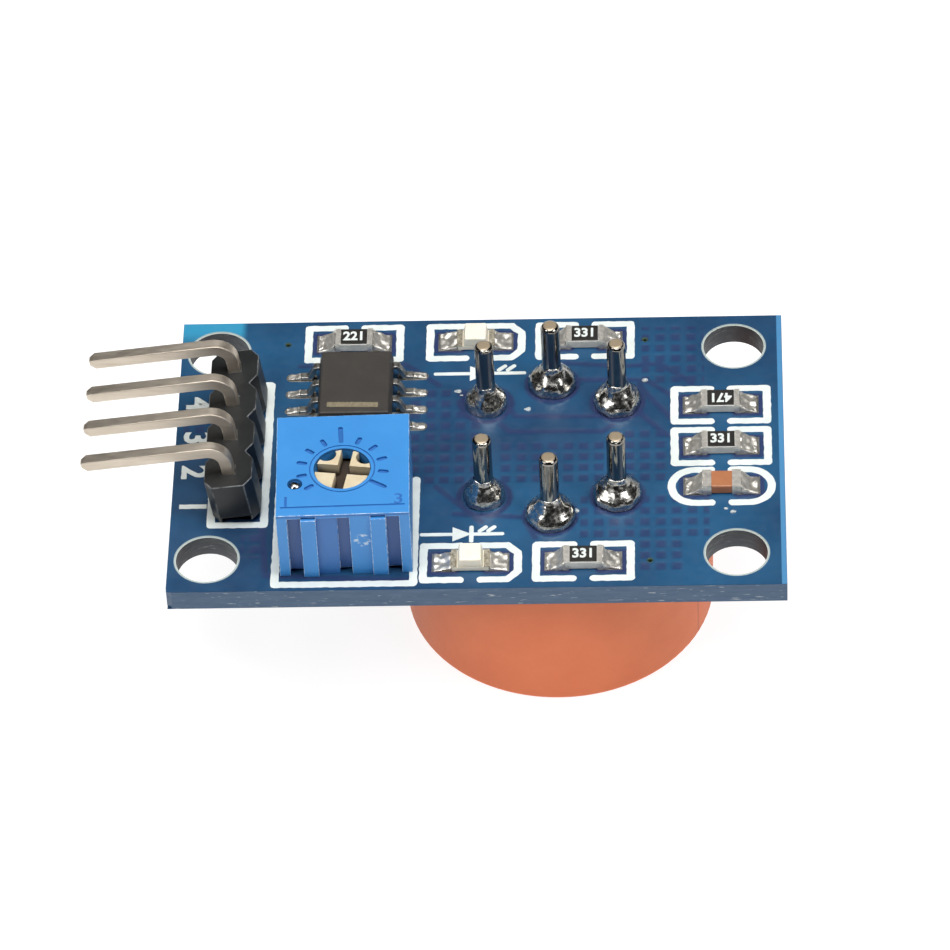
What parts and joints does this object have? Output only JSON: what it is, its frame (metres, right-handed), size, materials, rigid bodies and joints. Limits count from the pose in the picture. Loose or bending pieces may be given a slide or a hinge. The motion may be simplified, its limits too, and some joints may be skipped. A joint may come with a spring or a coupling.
{
  "type": "gas sensor breakout board",
  "caption": "Small blue circuit board with a round orange gas sensor below it, a trimmer with a dial, a bent pin header and chip parts on top.",
  "frame": {"origin": "centre of the four mounting holes, on the underside of the board, the face that the sensor is on", "axes": "+X along the board away from the header, +Y across the board towards the back of the picture, +Z out of the component side"},
  "size_m": [0.0365, 0.02, 0.0154],
  "materials": {
    "board_laminate": "blue solder mask over glass fibre laminate",
    "tinned_copper": "tinned copper, dull",
    "printed_ink": "white epoxy ink",
    "header_plastic": "black glass filled nylon",
    "header_pin_metal": "tin plated brass wire",
    "solder": "soft solder",
    "trimmer_plastic": "blue moulded thermoset",
    "rotor_plastic": "ivory moulded nylon",
    "spring_metal": "phosphor bronze strip",
    "seal_rubber": "silicone rubber",
    "element_ceramic": "fired alumina",
    "seal_resin": "cured epoxy",
    "terminal_metal": "tinned wire",
    "package_plastic": "black moulded epoxy",
    "lead_metal": "tin plated lead frame",
    "resistor_ceramic": "alumina chip",
    "cap_metal": "tinned nickel end cap",
    "overcoat": "black glass overcoat",
    "capacitor_ceramic": "tan multilayer ceramic",
    "lamp_base": "white laminate",
    "lamp_lens": "milky moulded epoxy",
    "sensor_plastic": "salmon orange moulded thermoset",
    "mesh_steel": "stainless gauze",
    "ring_metal": "nickel plated steel",
    "gold_band": "fired gold",
    "heater_wire": "nickel chrome wire",
    "electrode_wire": "platinum wire",
    "sensor_pin_metal": "nickel plated pin, solder dipped"
  },
  "bodies": {
    "board": {"circuit_board": "board_laminate", "solder_pads": "tinned_copper", "plated_holes": "tinned_copper", "vias": "tinned_copper", "silkscreen": "printed_ink", "header_strip": "header_plastic", "header_pin_1": "header_pin_metal", "header_pin_2": "header_pin_metal", "header_pin_3": "header_pin_metal", "header_pin_4": "header_pin_metal", "header_solder": "solder", "trimmer_housing": "trimmer_plastic", "trimmer_element": "element_ceramic", "trimmer_seal": "seal_resin", "trimmer_terminals": "terminal_metal", "trimmer_solder": "solder", "comparator_body": "package_plastic", "comparator_leads": "lead_metal", "comparator_solder": "solder", "resistor_1": "resistor_ceramic", "resistor_2": "resistor_ceramic", "resistor_3": "resistor_ceramic", "resistor_4": "resistor_ceramic", "resistor_5": "resistor_ceramic", "resistor_1_caps": "cap_metal", "resistor_2_caps": "cap_metal", "resistor_3_caps": "cap_metal", "resistor_4_caps": "cap_metal", "resistor_5_caps": "cap_metal", "resistor_coats": "overcoat", "capacitor": "capacitor_ceramic", "capacitor_caps": "cap_metal", "led_1_base": "lamp_base", "led_1_lens": "lamp_lens", "led_1_terminals": "cap_metal", "led_2_base": "lamp_base", "led_2_lens": "lamp_lens", "led_2_terminals": "cap_metal", "chip_solder": "solder", "sensor_housing": "sensor_plastic", "sensor_base": "sensor_plastic", "sensor_mesh": "mesh_steel", "sensor_ring": "ring_metal", "sensing_tube": "element_ceramic", "tube_bands": "gold_band", "heater_coil": "heater_wire", "electrode_wires": "electrode_wire", "sensor_pin_1": "sensor_pin_metal", "sensor_pin_2": "sensor_pin_metal", "sensor_pin_3": "sensor_pin_metal", "sensor_pin_4": "sensor_pin_metal", "sensor_pin_5": "sensor_pin_metal", "sensor_pin_6": "sensor_pin_metal", "sensor_solder": "solder"},
    "rotor": {"trimmer_rotor": "rotor_plastic", "trimmer_wiper": "spring_metal", "trimmer_o_ring": "seal_rubber"}
  },
  "joints": [
    {"name": "rotor_turn", "type": "hinge", "parent": "board", "child": "rotor", "pos_m": [-0.00654, -0.00553, 0.00598], "axis": [-0.0454, 0, 0.999], "range_deg": [-120, 120]}
  ]
}
